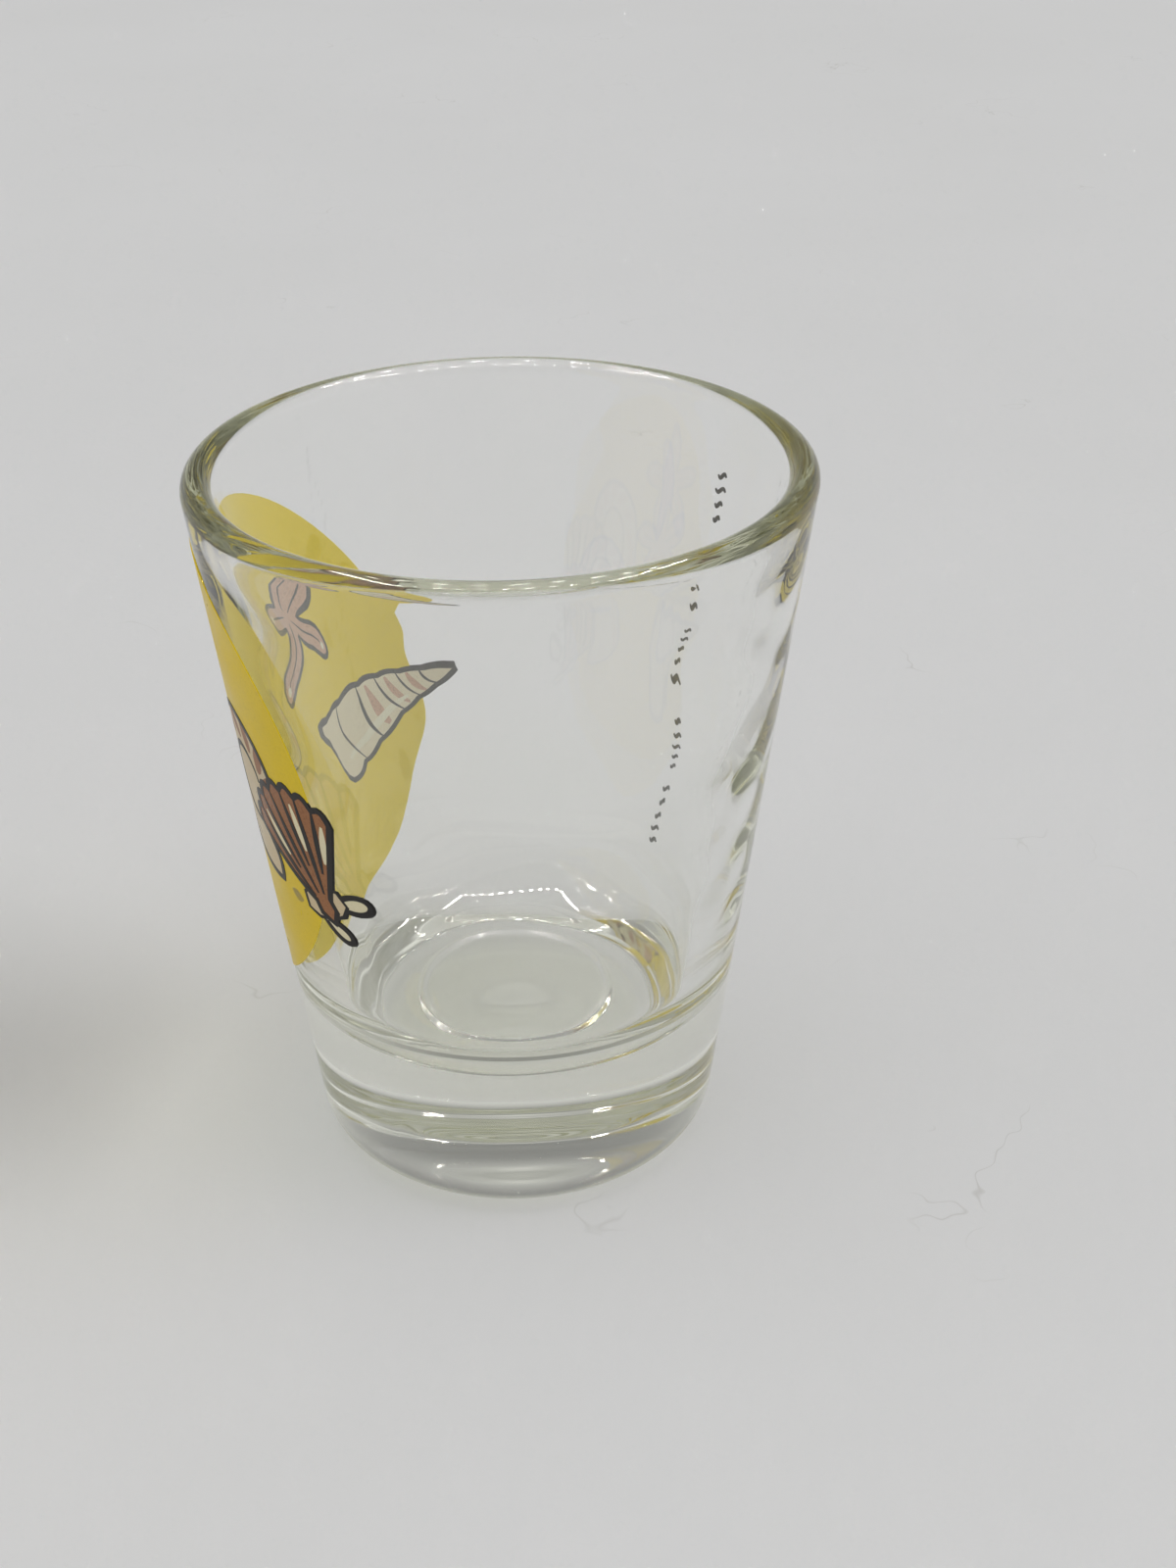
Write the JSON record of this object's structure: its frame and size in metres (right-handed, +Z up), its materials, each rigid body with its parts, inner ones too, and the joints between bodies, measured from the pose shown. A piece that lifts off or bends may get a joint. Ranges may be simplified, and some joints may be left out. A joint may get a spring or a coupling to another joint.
{
  "type": "shot glass",
  "caption": "Tapered heavy-based clear shot glass with a rounded lip with sea shells on a yellow oval fired on one side and a column of small black waves on the other.",
  "frame": {"origin": "middle of the plane the glass rests on, on the axis of the glass", "axes": "+Z up along the axis of the glass, out of its mouth; the print faces roughly -X"},
  "size_m": [0.0486, 0.0486, 0.06],
  "materials": {
    "clear_glass": "clear pressed soda-lime glass with a faint olive-green tint in its thick parts",
    "yellow_enamel": "fired-on ceramic enamel ink, glossy",
    "tan_enamel": "fired-on ceramic enamel ink, glossy",
    "brown_enamel": "fired-on ceramic enamel ink, glossy",
    "cream_enamel": "fired-on ceramic enamel ink, glossy",
    "black_enamel": "fired-on ceramic enamel ink, glossy"
  },
  "bodies": {
    "root": {"glass_body": "clear_glass", "yellow_ground_print": "yellow_enamel", "tan_shell_print": "tan_enamel", "brown_shell_print": "brown_enamel", "cream_highlight_print": "cream_enamel", "black_outline_print": "black_enamel"}
  },
  "joints": []
}
